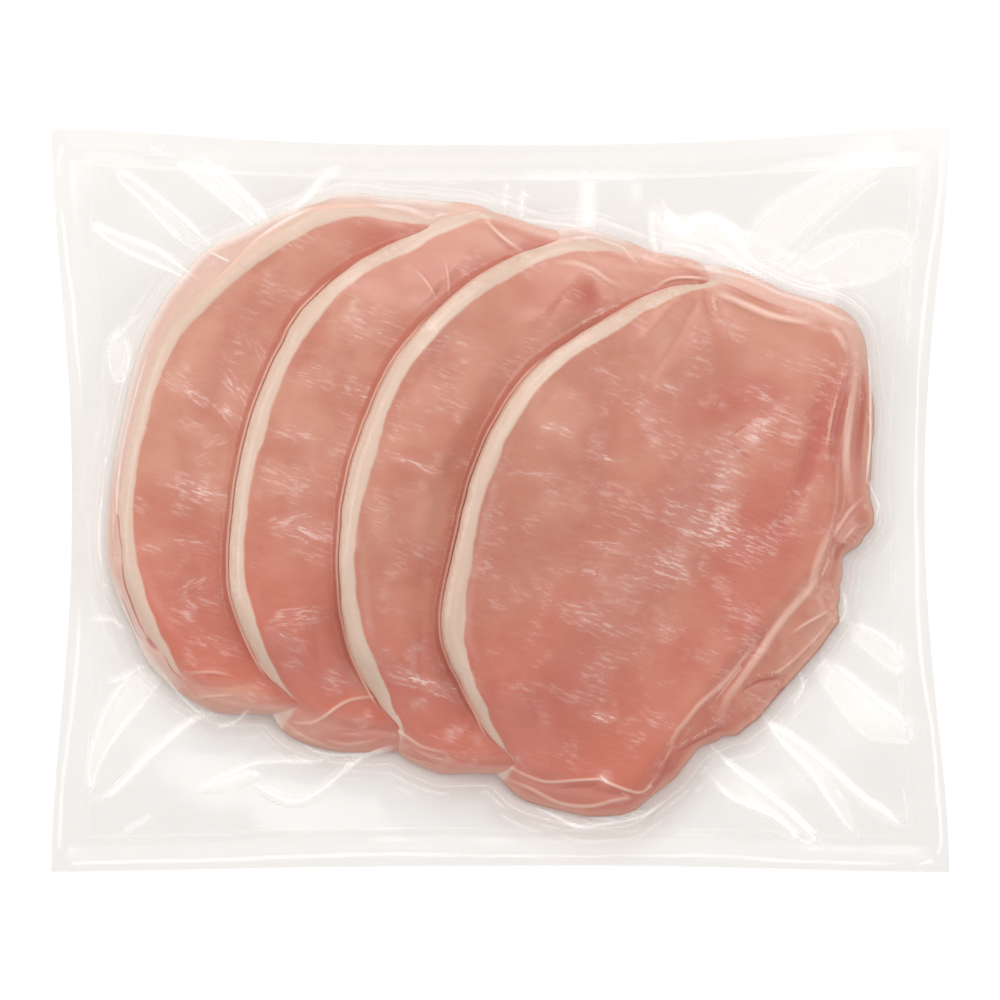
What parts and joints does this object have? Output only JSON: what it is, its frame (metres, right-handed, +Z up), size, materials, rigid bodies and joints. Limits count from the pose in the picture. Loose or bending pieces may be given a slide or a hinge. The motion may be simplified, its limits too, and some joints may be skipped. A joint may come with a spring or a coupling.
{
  "type": "pork loin steak vacuum pack",
  "caption": "Boneless pork loin steaks with a rim of fat, shingled and vacuum-sealed in a clear flat film bag with heat-sealed edges.",
  "frame": {"origin": "on the surface the pack lies on, under the middle of the film bag", "axes": "+X towards the side where the whole upper steak shows, along the bag's long side; +Y along its short side; +Z up from the surface"},
  "size_m": [0.25, 0.207, 0.0339],
  "materials": {
    "lean_meat": "raw lean pork under film, moist satin",
    "fat": "raw pork fat under film, smooth satin",
    "film": "clear glossy film",
    "seal": "slightly milky heat-sealed film"
  },
  "bodies": {
    "root": {"vacuum_pack": "lean_meat"}
  },
  "joints": []
}
